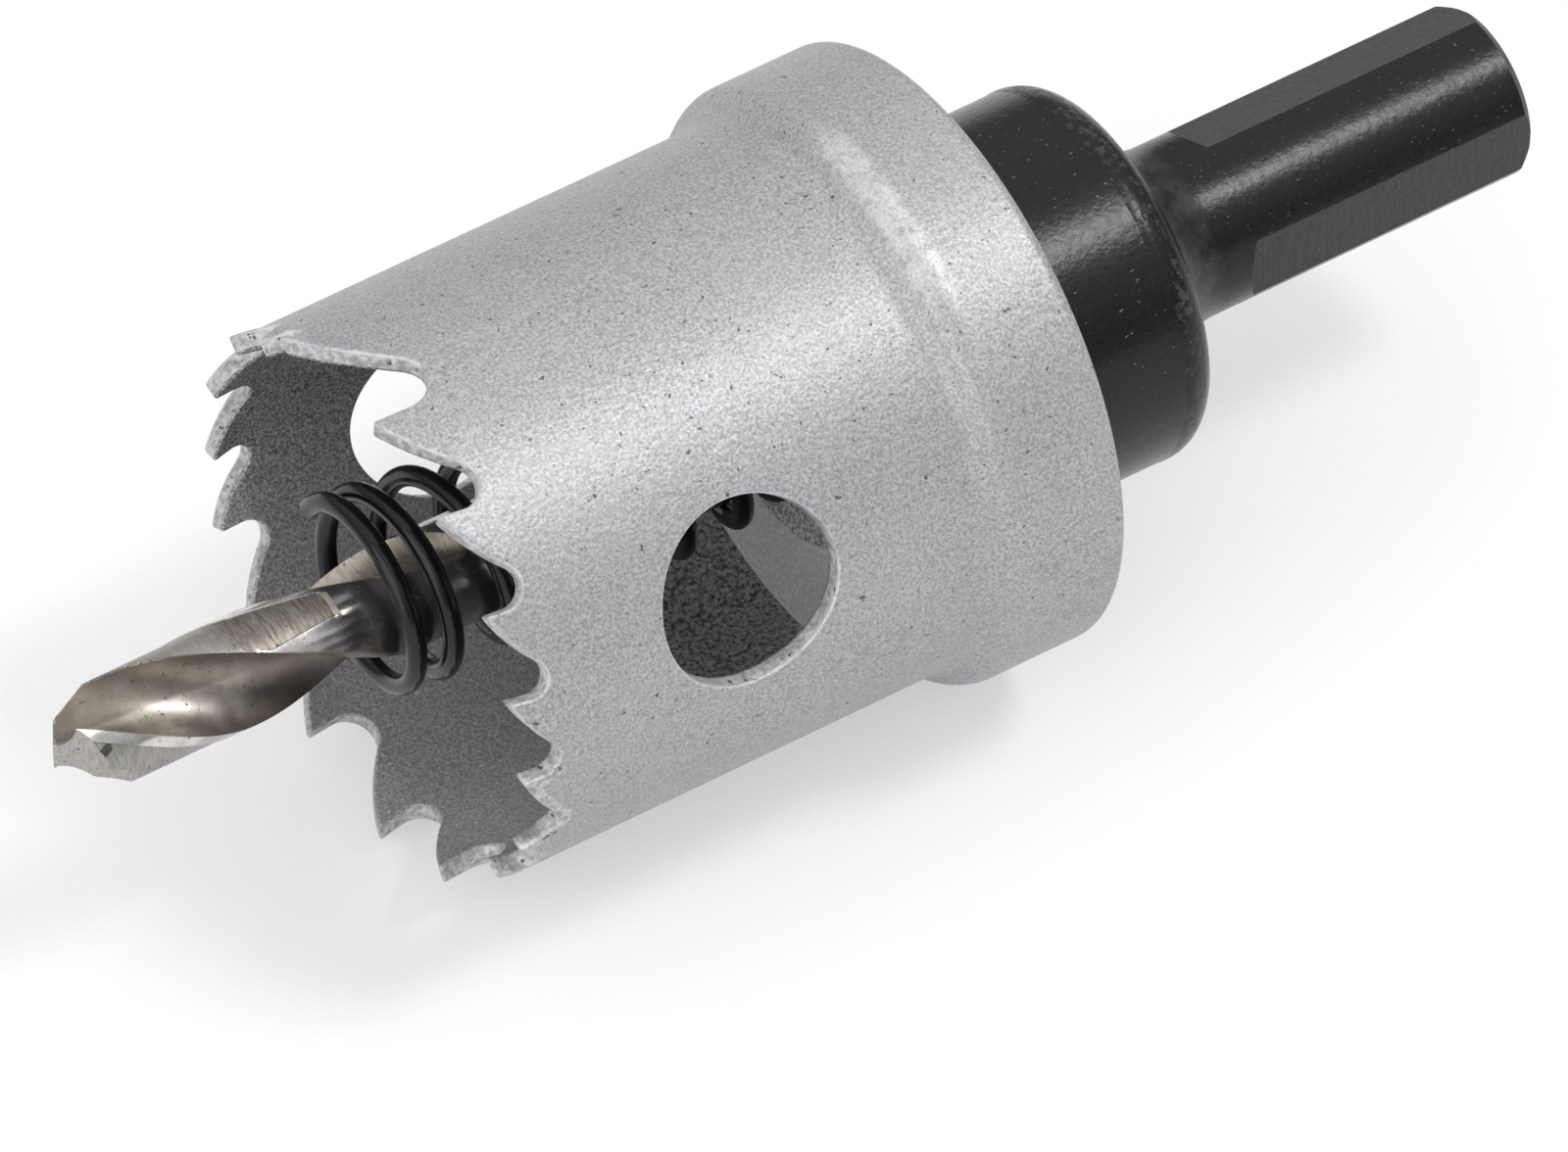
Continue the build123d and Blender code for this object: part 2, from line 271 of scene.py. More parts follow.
world = bpy.data.worlds.new("surround")
world.use_nodes = True
sky = Tree(world.node_tree)
direction = sky.node("ShaderNodeTexCoord", output="Generated")
upward = sky.outputs_of(sky.node("ShaderNodeSeparateXYZ", None, {0: direction}))[2]
level = upward.steps(0.0, FULL_HEIGHT) * (OVERHEAD - HORIZON) + HORIZON
background = world.node_tree.nodes["Background"]
background.inputs["Color"].default_value = (1, 1, 1, 1)
world.node_tree.links.new(level.socket, background.inputs["Strength"])
bpy.context.scene.world = world
print(f"surround: {HORIZON} at the horizon, {OVERHEAD} overhead")

# %% Lamps
LAMP_DISTANCE = 0.9
LAMPS = {
    "key": ((0.385, -0.31, 0.87), 0.2, 2.4),
    "mouth": ((-0.9, -0.35, 0.42), 0.8, 3.0),
}

for name, (direction, size, power) in LAMPS.items():
    lamp = bpy.data.lights.new(name, "AREA")
    lamp.energy = power
    lamp.size = size
    lamp_object = in_scene(name, lamp)
    away = Vector(direction).normalized()
    lamp_object.location = away * LAMP_DISTANCE
    lamp_object.rotation_euler = away.to_track_quat("Z", "Y").to_euler()
    print(f"{name} lamp: {power} W, {size} m wide")

# %% [markdown]
# ## Floor
# The saw lies on white paper. More light would make the paper white but would bleach the saw
# as well. So the paper glows a little where the camera or a reflection sees it, and throws
# less light back on the saw than it shows. It keeps the saw's shadow.

# %% Floor
FLOOR_HALF = 2
FLOOR_GREY = 0.97
FIBRE_GREY = 0.99
FLOOR_BOUNCE = 0.62
FLOOR_GLOW = 0.43


def paper_ground():
    """Return white paper that glows a little to the camera and in reflections."""
    paper = Finish("paper")
    camera_ray, _, _, glossy_ray, _, _, transmission_ray, *_ = paper.outputs_of(
        paper.node("ShaderNodeLightPath"))
    seen = camera_ray.math("MAXIMUM", glossy_ray).math("MAXIMUM", transmission_ray)
    fibre = paper.mix(paper.noise(3, 3), FLOOR_GREY, FIBRE_GREY)
    paper.wear(base_color=paper.mix(seen, FLOOR_BOUNCE, fibre), roughness=1.0)
    glow = paper.node("ShaderNodeEmission", None, {"Color": (1, 1, 1, 1), "Strength": 1.0})
    surface = paper.node("ShaderNodeMixShader", None, {0: seen * FLOOR_GLOW, 2: glow})
    mixed = surface.socket.node
    paper.tree.links.new(paper.shader.outputs[0], mixed.inputs[1])
    paper.tree.links.new(mixed.outputs[0], paper.tree.nodes["Material Output"].inputs["Surface"])
    return paper.material


corners = [(-1, -1), (1, -1), (1, 1), (-1, 1)]
floor_mesh = bpy.data.meshes.new("floor")
floor_mesh.from_pydata(
    [(x * FLOOR_HALF, y * FLOOR_HALF, 0) for x, y in corners], [], [(0, 1, 2, 3)])
floor_mesh.materials.append(paper_ground())
floor = in_scene("floor", floor_mesh)
bpy.context.scene.view_settings.view_transform = "Standard"

# %% [markdown]
# ## Silver paint
# Cup and base are sprayed together with a silver paint that dries to a fine orange peel. Its
# flakes sparkle where the light meets them, and dirt sits in small dark pits. A painted
# picture would stretch at the rims and end in a seam. Noises in tool coordinates run over
# wall, rims and base without one, at the grain size that the photograph shows.

# %% Sprayed coat
RUB_AND_HIGHLIGHT_HEIGHT = 6.6
RUB_AND_HIGHLIGHT_ANGLE = -13


def sprayed(paint, flake, pits):
    """Return the coat's colour: flakes, clouds and pits, and a pale band on the step that is partly a
    rub and partly a painted highlight.
    """
    cloud = paint.noise(7, 2, 0.5, seed=5)
    coat = paint.mix(flake.steps(0.3, 0.7), (0.28, 0.28, 0.29), (0.54, 0.54, 0.56))
    coat = paint.mix(cloud.steps(0.3, 0.8) * 0.2, coat, (0.48, 0.48, 0.49))
    coat = paint.mix(pits, coat, (0.12, 0.115, 0.11))
    # Painted highlight, partly a real rub: a pale cream band along the step's fillet, where the key
    # lamp's highlight falls.
    rub_and_highlight = paint.height.band(RUB_AND_HIGHLIGHT_HEIGHT, 0.6, 0.7) * paint.turn.band(RUB_AND_HIGHLIGHT_ANGLE, 13, 12)
    rub_and_highlight = rub_and_highlight * paint.noise(0.8, 3, seed=15).steps(0.25, 0.6)
    return paint.mix(rub_and_highlight * (flake * 0.5 + 0.25), coat, (0.8, 0.79, 0.76))


# %% [markdown]
# ## Bare edges and the rough inside
# The paint is worn off along every cut edge, most where the burrs of the teeth stick out, and
# round the rear of the ring, and the pale line at the cut edges is partly a painted edge highlight.
# Inside, the strip keeps its gritty mill skin, darker towards the base, with painted light on its
# lower side near the mouth. The wall's mesh keeps two numbers for this: its depth, 0 outside and 1
# inside, and how near the cut edge is. Painting masks by hand would be lost with each new size.

# %% Bare edges
REACH = 2.5
BURRED_HEIGHT = 27
BURRED_ANGLE = -122
RING_EDGE_WEAR = 0.5


def worn_bare_and_edge_highlight(paint, coat, bare, blot):
    """Return the coat's colour with the metal bare at the cut edges and round the ring, and a pale
    line at the cut edges that is partly a painted edge highlight.
    """
    nearness = paint.kept("edge_nearness")
    broken = paint.noise(1.3, 2, 0.5, seed=17).steps(0.3, 0.6) * 0.7 + 0.3
    # Partly painted highlight: the pale line along the cut edges is worn paint and also stands in for
    # the edge's highlight.
    worn_edge_and_highlight = (nearness + blot * 0.3).steps(REACH, REACH + 0.14) * broken
    from_ring_edge = (RING_RADIUS - 0.02 - paint.radius) + paint.height * 2
    ring_edge = (from_ring_edge - blot * RING_EDGE_WEAR).steps(0.1, -0.1)
    coat = paint.mix(worn_edge_and_highlight.math("MAXIMUM", ring_edge), coat, (0.66, 0.66, 0.655))
    burred = paint.height.steps(BURRED_HEIGHT - 1, BURRED_HEIGHT + 1)
    burred = burred * paint.turn.band(BURRED_ANGLE, 33, 10)
    chipped = (nearness + blot * 0.5 + burred * 0.5).steps(REACH + 0.12, REACH + 0.2)
    return paint.mix(chipped * burred, coat, bare)


# %% Rough inside
BASE_SIDE_HEIGHT = 19
MOUTH_SIDE_HEIGHT = 25


def gritty_inside(paint, speck):
    """Return the colour of the wall's inside: grit, darker towards the base, painted light on the
    lower side near the mouth, and pale dots.
    """
    dots = paint.noise(0.3, 1, 0.5, seed=19).steps(0.68, 0.76)
    grit = paint.noise(0.16, 2, 0.7, seed=21)
    mouth_side = paint.mix(grit.steps(0.36, 0.64), (0.07, 0.07, 0.072), (0.46, 0.46, 0.465))
    base_side = paint.mix(speck.steps(0.3, 0.65), 0.04, 0.4)
    inside = paint.mix(paint.height.steps(MOUTH_SIDE_HEIGHT, BASE_SIDE_HEIGHT), mouth_side, base_side)
    # Painted light: the lower side of the inner wall near the mouth is lighter, where light falls in
    # through the mouth.
    painted_light_below = paint.up.steps(4, -13) * paint.height.steps(BASE_SIDE_HEIGHT, MOUTH_SIDE_HEIGHT) * 0.4
    return paint.mix(dots * 0.6, paint.mix(painted_light_below, inside, 0.56), 0.8)


# %% Whole paint
CUP_FLOOR_HEIGHT = 10.2
CUP_FLOOR_RADIUS = 14.8


def silver_paint():
    """Return the paint of the cup and the base, with the wall's bare edges and rough inside."""
    paint = Finish("silver_paint")
    depth = paint.kept("depth")
    inner = depth.steps(0.85, 0.98)
    rim = depth.band(0.5, 0.42, 0.06)
    peel = paint.noise(0.38)
    flake = paint.noise(0.17, 2, 0.7, seed=1)
    pits = paint.noise(0.42, 2, 0.5, seed=3).steps(0.68, 0.75)
    blot = paint.noise(0.4, 3, seed=9)
    nick = paint.noise(0.6, seed=13).steps(0.64, 0.7)
    speck = paint.noise(0.25, 2, 0.7, seed=7)
    bare = paint.mix(blot.steps(0.3, 0.7), (0.32, 0.32, 0.315), (0.66, 0.66, 0.65))
    bare = paint.mix(nick, bare, (0.12, 0.11, 0.1))
    coat = worn_bare_and_edge_highlight(paint, sprayed(paint, flake, pits), bare, blot)
    cup_floor = paint.radius.steps(CUP_FLOOR_RADIUS + 0.06, CUP_FLOOR_RADIUS)
    cup_floor = cup_floor * paint.height.steps(CUP_FLOOR_HEIGHT, CUP_FLOOR_HEIGHT + 0.15)
    coat = paint.mix(cup_floor, coat, paint.mix(speck.steps(0.4, 0.65), 0.75, 0.98))
    colour = paint.mix(rim, paint.mix(inner, coat, gritty_inside(paint, speck)), bare)
    return paint.wear(
        base_color=colour, metallic=0.35,
        roughness=paint.noise(0.2, seed=11) * 0.2 + 0.36,
        normal=paint.bump(peel * 0.045 + flake * 0.008 - pits * 0.02 - nick * rim * 0.05))


paint = silver_paint()

# %% [markdown]
# ## The toothed cup
# The wall of a real hole saw starts as a flat strip. Teeth are milled into one edge and the
# windows are punched, then the strip is rolled to a tube and welded. Booleans on a tube would
# leave long thin faces with no room for rounded edges. So the mesh is made the way of the real
# wall: one flat outline with curved gullets is filled with even triangles and rolled up. A
# Geometry Nodes tree then gives it its thickness and round edges, and sets the teeth.

# %% Sizes of the cup
CUP_RADIUS = 16.0
WALL = 1.1
EDGE_ROUND = 0.14
FIRST_TIP_ANGLE = 28.0
TOOTH_PITCHES = (11, 14, 22, 19, 19, 20, 26, 26.5, 24, 26.5, 17, 20, 18, 19, 21, 24, 33)
TOOTH_BENDS = (1, -1, 1, 0, -1, 1, 0, -1, 1, 0, -1, 1, 0, -1, 1, 0, -1)
SET_DEPTH = 0.3
BEND_DEPTH_RATIO = 0.8
GULLET_DEPTH_RATIO = 0.46
GULLET_ROUND_RATIO = 0.21
FACE_UNDERCUT_RATIO = 0.03
BACK_SLOPE = 42.0
WINDOW_RADIUS = 5.4
WINDOWS = ((22.3, -69.0), (23.3, 106.0))
OUTLINE_STEP = 0.16

ARC_OF_DEGREE = CUP_RADIUS * radians(1)
FULL_LENGTH = 360 * ARC_OF_DEGREE
print(f"strip: {FULL_LENGTH:.1f} mm long, {len(TOOTH_PITCHES)} teeth, {len(WINDOWS)} windows")


# %% One gullet
def chord_of(pitch):
    """Return the straight distance between two tips this many degrees apart."""
    return 2 * CUP_RADIUS * sin(radians(pitch / 2))


def arc(centre, radius, start, end):
    """Return points on an arc, with angles in degrees, at about the outline's step."""
    count = max(2, ceil(abs(radians(end - start)) * radius / OUTLINE_STEP))
    turns = np.radians(np.linspace(start, end, count + 1))
    return [(centre[0] + radius * cos(t), centre[1] + radius * sin(t)) for t in turns]


def gullet(pitch):
    """Return the outline of one gullet, from one tip to the next, about its middle."""
    chord = chord_of(pitch)
    round_radius = GULLET_ROUND_RATIO * chord
    centre = (
        round_radius - FACE_UNDERCUT_RATIO * chord - chord / 2,
        TIP_HEIGHT - GULLET_DEPTH_RATIO * chord + round_radius)
    bottom = arc(centre, round_radius, 180, 270 + BACK_SLOPE)
    foot_x, foot_y = bottom[-1]
    run, rise = chord / 2 - foot_x, TIP_HEIGHT - foot_y
    slope = radians(BACK_SLOPE)
    back_radius = (run * run + rise * rise) / (2 * (run * sin(slope) - rise * cos(slope)))
    back_centre = (foot_x + back_radius * sin(slope), foot_y - back_radius * cos(slope))
    back_end = degrees(atan2(TIP_HEIGHT - back_centre[1], chord / 2 - back_centre[0]))
    back = arc(back_centre, back_radius, 90 + BACK_SLOPE, back_end)
    face_count = ceil((TIP_HEIGHT - centre[1]) / OUTLINE_STEP)
    face = np.linspace((-chord / 2, TIP_HEIGHT), bottom[0], face_count, endpoint=False)
    return [*map(tuple, face), *bottom, *back[1:]]


# %% Outline of the strip
tip_angles = FIRST_TIP_ANGLE + np.concatenate(([0], np.cumsum(TOOTH_PITCHES)[:-1]))
bottom_angles = [
    angle + degrees(asin((GULLET_ROUND_RATIO - FACE_UNDERCUT_RATIO) * chord_of(pitch) / CUP_RADIUS))
    for angle, pitch in zip(tip_angles, TOOTH_PITCHES)]
seam_angle = bottom_angles[-1] - 360


def rolled_out(x, middle):
    """Return the length round the wall for a straight distance from a line at this angle."""
    return (middle - seam_angle + degrees(asin(x / CUP_RADIUS))) * ARC_OF_DEGREE


def crown_line():
    """Return the strip's toothed edge, from the seam once round to the seam."""
    around = []
    for angle, pitch in zip(tip_angles, TOOTH_PITCHES):
        around += [(rolled_out(x, angle + pitch / 2), y) for x, y in gullet(pitch)[:-1]]
    around = np.array(around)
    start = np.argmax(around[:, 0] > FULL_LENGTH)
    before = around[start:] - (FULL_LENGTH, 0)
    return np.vstack((before, around[:start]))


crown = crown_line()
print(f"toothed edge: {len(crown)} points, seam at {seam_angle:.1f} degrees")

# %% Wear on the tips
TIP_WEAR = 0.3
WORN_POINTS = 6


def towards(tip, point):
    """Return the place on the way from a tip to a point where the tip's wear ends."""
    return tip + (point - tip) * TIP_WEAR / np.linalg.norm(point - tip)


def worn_tips(line):
    """Return the toothed edge with each tip rounded by wear."""
    tips = line[line[:, 1] > TIP_HEIGHT - 1e-6]
    worn, tip = [], None
    for point in line:
        gaps = np.linalg.norm(tips - point, axis=1)
        if gaps.min() > TIP_WEAR:
            if tip is not None:
                end = towards(tip, point)
                worn += [
                    start * (1 - t) ** 2 + tip * 2 * t * (1 - t) + end * t * t
                    for t in np.linspace(0, 1, WORN_POINTS)]
                tip = None
            worn.append(point)
        elif tip is None:
            tip = tips[gaps.argmin()]
            start = towards(tip, worn[-1])
    return np.array(worn)


# %% Loops of the strip
FOOT_SUNK = 0.4
GRID_STEP = 0.42
FOOT_HEIGHT = WALL_START - FOOT_SUNK
SEAM_TOP = TIP_HEIGHT - GULLET_DEPTH_RATIO * chord_of(TOOTH_PITCHES[-1])


def window_line(height, angle):
    """Return the outline of a window on the unrolled wall."""
    count = ceil(2 * pi * WINDOW_RADIUS / OUTLINE_STEP)
    turns = np.linspace(0, 2 * pi, count + 1)
    middle = seam_angle + (angle - seam_angle) % 360
    return np.array([
        (rolled_out(WINDOW_RADIUS * cos(t), middle), height + WINDOW_RADIUS * sin(t)) for t in turns])


crown = worn_tips(np.vstack(((0, SEAM_TOP), crown, (FULL_LENGTH, SEAM_TOP))))
column_count = round(FULL_LENGTH / GRID_STEP)
foot = np.array([(x, FOOT_HEIGHT) for x in np.linspace(FULL_LENGTH, 0, column_count + 1)])
windows = [window_line(height, angle) for height, angle in WINDOWS]
edges = [crown, *windows]
print("points on the strip's edges:", [len(line) for line in edges])

# %% Distance to the edges
POINTS_AT_ONCE = 200
starts = np.vstack([line[:-1] for line in edges])
ends = np.vstack([line[1:] for line in edges])


def edge_distance(points):
    """Return how far each point of the strip is from the nearest edge, up to REACH."""
    order = np.argsort(points[:, 0])
    nearest = np.full(len(points), REACH)
    for some in np.array_split(order, ceil(len(points) / POINTS_AT_ONCE)):
        for shift in (-FULL_LENGTH, 0, FULL_LENGTH):
            here = points[some] + (shift, 0)
            close = np.maximum(starts[:, 0], ends[:, 0]) > here[0, 0] - REACH
            close &= np.minimum(starts[:, 0], ends[:, 0]) < here[-1, 0] + REACH
            if close.any():
                runs = (ends - starts)[close]
                offsets = here[:, None] - starts[close]
                shares = np.clip((offsets * runs).sum(2) / (runs ** 2).sum(1), 0, 1)
                gaps = offsets - shares[..., None] * runs
                nearest[some] = np.minimum(nearest[some], np.sqrt((gaps ** 2).sum(2).min(1)))
    return nearest


# %% Filling flat loops
def enclosed(points, starts, ends):
    """Return which points have an odd number of these edges above them, so lie between them."""
    inside = []
    for some in np.array_split(points, ceil(len(points) / POINTS_AT_ONCE)):
        x, y = some[:, :1], some[:, 1:]
        spans = (starts[:, 0] <= x) != (ends[:, 0] <= x)
        run = np.where(spans, ends[:, 0] - starts[:, 0], 1)
        crossing = starts[:, 1] + (x - starts[:, 0]) * (ends[:, 1] - starts[:, 1]) / run
        inside.append((spans & (crossing > y)).sum(1) % 2 == 1)
    return np.concatenate(inside)


def filled(loops, free):
    """Return points and triangles that fill these closed loops, with free points in between."""
    points, borders = [], []
    for loop in loops:
        first = len(points)
        points += [Vector(p) for p in loop]
        borders += [(first + i, first + (i + 1) % len(loop)) for i in range(len(loop))]
    points += [Vector(p) for p in free]
    made, _, triangles, *_ = delaunay_2d_cdt(points, borders, [], 0, 1e-5)
    return np.array(made), np.array(triangles)


# %% Free points of the strip
ROUND_ROWS = (0.25, 0.6, 1.0, 1.8)
ROW_CLEARANCE = 0.93
SEAM_CLEARANCE = 0.2
GRID_CLEARANCE = 0.75
ROW_RATIO = sqrt(0.75)


def row(line, distance):
    """Return points beside an edge at this distance, without those too near another edge."""
    runs = np.gradient(line, axis=0)
    normals = np.column_stack((-runs[:, 1], runs[:, 0])) / np.linalg.norm(runs, axis=1)[:, None]
    points = np.vstack((line + normals * distance, line - normals * distance))
    return points[edge_distance(points) > ROW_CLEARANCE * distance]


rows = [row(line, share * EDGE_ROUND) for share in ROUND_ROWS for line in edges]
line_count = ceil((TIP_HEIGHT - FOOT_HEIGHT) / (GRID_STEP * ROW_RATIO))
columns, lines = np.meshgrid(np.arange(column_count + 1), np.arange(line_count + 1))
grid = np.column_stack((
    ((columns + lines % 2 / 2) * FULL_LENGTH / column_count).ravel(),
    (FOOT_HEIGHT + (lines + 1) * GRID_STEP * ROW_RATIO).ravel()))
free = np.vstack(rows + [grid])
free = free[(free[:, 0] > SEAM_CLEARANCE) & (free[:, 0] < FULL_LENGTH - SEAM_CLEARANCE)]
far = edge_distance(free)
free = free[(far < 2 * EDGE_ROUND) | (far > GRID_CLEARANCE * GRID_STEP)]
free = free[enclosed(free, starts, ends)]
print(f"points between the edges: {len(free)}")

# %% Fill the strip with triangles
seam_count = ceil((SEAM_TOP - FOOT_HEIGHT) / GRID_STEP)
seam_heights = np.linspace(FOOT_HEIGHT, SEAM_TOP, seam_count + 1)[1:-1]
seams = [np.column_stack((np.full(seam_count - 1, x), seam_heights)) for x in (0, FULL_LENGTH)]
strip_loop = np.vstack((crown, seams[1][::-1], foot, seams[0]))
flat, faces = filled([strip_loop, *[line[:-1] for line in windows]], free)
faces = faces[enclosed(flat[faces].mean(1), starts, ends)]
print(f"strip: {len(flat)} points, {len(faces)} triangles")

# %% Roll the strip's outer face round the axis
def numbers(mesh, name, values):
    """Keep one number for each point of a mesh."""
    mesh.attributes.new(name, "FLOAT", "POINT").data.foreach_set("value", values)


def tooth_set(angles, heights):
    """Return how far the wall is bent out, in millimetres, at these places."""
    depths = GULLET_DEPTH_RATIO * np.array([chord_of(pitch) for pitch in TOOTH_PITCHES])
    bend_starts = TIP_HEIGHT - BEND_DEPTH_RATIO * np.minimum(depths, np.roll(depths, 1))
    tooth = np.searchsorted(bottom_angles, angles) % len(TOOTH_BENDS)
    share = (heights - bend_starts[tooth]) / (TIP_HEIGHT - bend_starts[tooth])
    return np.array(TOOTH_BENDS)[tooth] * SET_DEPTH * np.clip(share, 0, 1)


SAME_PLACE = 1e-4
angles = seam_angle + flat[:, 0] / ARC_OF_DEGREE
at_start = {round(y, 4): i for i, (x, y) in enumerate(flat) if x < SAME_PLACE}
joined = [
    at_start[round(y, 4)] if x > FULL_LENGTH - SAME_PLACE else i
    for i, (x, y) in enumerate(flat)]
outer_mesh = bpy.data.meshes.new("outer_face")
outer_mesh.from_pydata(
    [place(height, CUP_RADIUS, angle) for angle, height in zip(angles, flat[:, 1])], [],
    np.array(joined)[faces].tolist())
numbers(outer_mesh, "edge_nearness", REACH - edge_distance(flat))
numbers(outer_mesh, "tooth_set", tooth_set(angles, flat[:, 1]))
outward = outer_mesh.polygons[0].normal.dot(outer_mesh.polygons[0].center - place(0, 0, 0))
print("outer face looks", "out" if outward > 0 else "in")

# %% [markdown]
# ## A tree for shapes
# A Geometry Nodes tree gets its sizes through named inputs, so that a size can be changed
# without touching the nodes. It is run once on an object, and what it makes is kept as a plain
# mesh: a live modifier would be worked out again for each export.

# %% A Geometry Nodes tree that is run once


class Shape(Tree):
    """A Geometry Nodes tree with named inputs for its sizes, in metres."""

    def __init__(self, name, sizes):
        group = bpy.data.node_groups.new(name, "GeometryNodeTree")
        new_socket = group.interface.new_socket
        new_socket("Geometry", in_out="INPUT", socket_type="NodeSocketGeometry")
        self.sizes = sizes
        self.keys = {
            size: new_socket(size, in_out="INPUT", socket_type="NodeSocketFloat").identifier
            for size in sizes}
        new_socket("Geometry", in_out="OUTPUT", socket_type="NodeSocketGeometry")
        super().__init__(group)
        self.start, *self.size, _ = self.outputs_of(self.node("NodeGroupInput"))

    def named(self, name):
        """Return the number that is kept for each point under this name."""
        return self.node("GeometryNodeInputNamedAttribute", {"data_type": "FLOAT"}, {"Name": name})

    def run(self, geometry, material, source, name):
        """End the tree, run it on an object and return the new plain object."""
        whole = self.node("GeometryNodeRealizeInstances", None, {0: geometry})
        coated = self.node("GeometryNodeSetMaterial", None, {"Geometry": whole, "Material": material})
        end = self.tree.nodes.new("NodeGroupOutput")
        self.tree.links.new(coated.socket, end.inputs[0])
        modifier = source.modifiers.new(name, "NODES")
        modifier.node_group = self.tree
        for size, value in self.sizes.items():
            modifier[self.keys[size]] = float(value)
        depsgraph = bpy.context.evaluated_depsgraph_get()
        mesh = bpy.data.meshes.new_from_object(
            source.evaluated_get(depsgraph), preserve_all_data_layers=True, depsgraph=depsgraph)
        source.modifiers.clear()
        bpy.data.objects.remove(source)
        made = in_scene(name, mesh)
        print(f"{name}: {len(mesh.vertices)} points, {len(mesh.polygons)} faces")
        return made


# %% The wall from its outer face


def from_axis(tree):
    """Return each point's distance from the axis and its direction away from it."""
    point = tree.node("GeometryNodeInputPosition")
    offset = tree.vector("SUBTRACT", point, (0, 0, AXIS_HEIGHT * MM))
    away = tree.vector("MULTIPLY", offset, (0, 1, 1))
    length = tree.outputs_of(tree.vector("LENGTH", away))[1]
    return length, tree.vector("NORMALIZE", away)


def thick_wall(tree):
    """Return the outer face with an inner face behind it, and each point's depth kept."""
    radius, wall, _ = tree.size
    inward = tree.node(
        "GeometryNodeExtrudeMesh", {"mode": "FACES"},
        {"Mesh": tree.start, "Offset Scale": wall * -1, "Individual": False})
    inside = tree.node("GeometryNodeFlipFaces", None, {0: inward})
    both = tree.node("GeometryNodeJoinGeometry", None, {0: tree.start})
    tree.tree.links.new(inside.socket, both.socket.node.inputs[0])
    closed = tree.node("GeometryNodeMergeByDistance", None, {0: both, "Distance": 1e-6})
    length, _ = from_axis(tree)
    depth = length.math("LESS_THAN", radius - wall * 0.5)
    return tree.node(
        "GeometryNodeStoreNamedAttribute", {"data_type": "FLOAT", "domain": "POINT"},
        {"Geometry": closed, "Name": "depth", "Value": depth})


def wall_tree():
    """Return the tree and its geometry: thickness, rounded edges and the set of the teeth."""
    sizes = {"Radius": CUP_RADIUS * MM, "Wall": WALL * MM, "Edge round": EDGE_ROUND * MM}
    tree = Shape("wall", sizes)
    radius, wall, round_radius = tree.size
    kept = thick_wall(tree)
    length, away = from_axis(tree)
    missing = round_radius - (REACH - tree.named("edge_nearness")) * MM
    missing = missing.math("MAXIMUM", 0)
    drop = round_radius - (round_radius * round_radius - missing * missing).math("SQRT")
    new_length = radius - drop + tree.named("depth") * (drop * 2 - wall)
    gap = new_length + tree.named("tooth_set") * MM - length
    move = tree.node("ShaderNodeVectorMath", {"operation": "SCALE"}, {0: away, "Scale": gap})
    rolled = tree.node("GeometryNodeSetPosition", None, {"Geometry": kept, "Offset": move})
    return tree, tree.node("GeometryNodeSetShadeSmooth", None, {0: rolled})


wall, walled = wall_tree()
cup = wall.run(walled, paint, in_scene("outer_face", outer_mesh), "cup_wall")
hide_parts("saw_cup")
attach(cup, "root")

# %% [markdown]
# ## The ejector spring
# Black spring wire is wound round the drill. The coils grow a little towards the teeth and
# hang off the axis, as a used spring does. A Screw modifier would make an even helix only. So
# the path is worked out from a few stations, each a turn, a height, a radius and how far the
# coil hangs, and a Geometry Nodes tree sweeps a round wire along it.

# %% Path of the spring
WIRE_RADIUS = 0.59
SPRING_END_ANGLE = 76.0
SPRING_HANG_ANGLE = 56.0
FRONT_STATIONS = (
    (0.04, 36.9, 5.45, 0.9),
    (0.12, 36.85, 5.35, 0.9),
    (0.3, 36.85, 5.3, 0.9),
    (0.6, 36.6, 5.3, 0.9),
    (0.83, 36.2, 5.3, 0.85),
    (1.05, 35.2, 5.3, 0.8),
    (1.3, 34.65, 5.3, 0.75),
    (1.58, 34.35, 5.25, 0.7),
    (1.82, 33.5, 5.15, 0.6),
    (2.04, 32.1, 5.1, 0.6),
    (3.04, 28.4, 4.7, 0.5),
)
ACTIVE_PITCH = 3.7
ACTIVE_END_RADIUS = 4.2
COIL_GAP = 0.05
NOSE_HEIGHT = 11.0
DRILL_RADIUS = 3.0
PATH_STEPS_PER_TURN = 48
BLEND_STEPS = 7


def spring_path():
    """Return the points of the wire's middle, from the front end to the turn on the nose."""
    seat = NOSE_HEIGHT + COIL_GAP + WIRE_RADIUS
    grip = DRILL_RADIUS + COIL_GAP + WIRE_RADIUS
    closed = seat + 2 * WIRE_RADIUS + COIL_GAP
    last_turn, last_height = FRONT_STATIONS[-1][:2]
    active_end = last_turn + (last_height - closed) / ACTIVE_PITCH
    stations = np.array(FRONT_STATIONS + (
        (active_end - 1, closed + ACTIVE_PITCH, ACTIVE_END_RADIUS, 0.0),
        (active_end, closed, grip, 0.0),
        (active_end + 1, seat, grip, 0.0)))
    count = round((stations[-1, 0] - stations[0, 0]) * PATH_STEPS_PER_TURN)
    turns = np.linspace(stations[0, 0], stations[-1, 0], count + 1)
    height, radius, hang = [np.interp(turns, stations[:, 0], column) for column in stations.T[1:]]
    blend = np.hanning(BLEND_STEPS + 2)[1:-1]
    ends = BLEND_STEPS // 2
    height[ends:-ends] = np.convolve(height, blend / blend.sum(), "valid")
    aside = np.array([cos(radians(SPRING_HANG_ANGLE)), sin(radians(SPRING_HANG_ANGLE))])
    path = []
    for turn, h, r, off in zip(turns, height, radius, hang):
        angle = radians(SPRING_END_ANGLE - 360 * turn)
        x, y = r * np.array([cos(angle), sin(angle)]) + off * aside
        path.append(place(h, sqrt(x * x + y * y), degrees(atan2(y, x))))
    print(f"spring path: {len(path)} points")
    return path


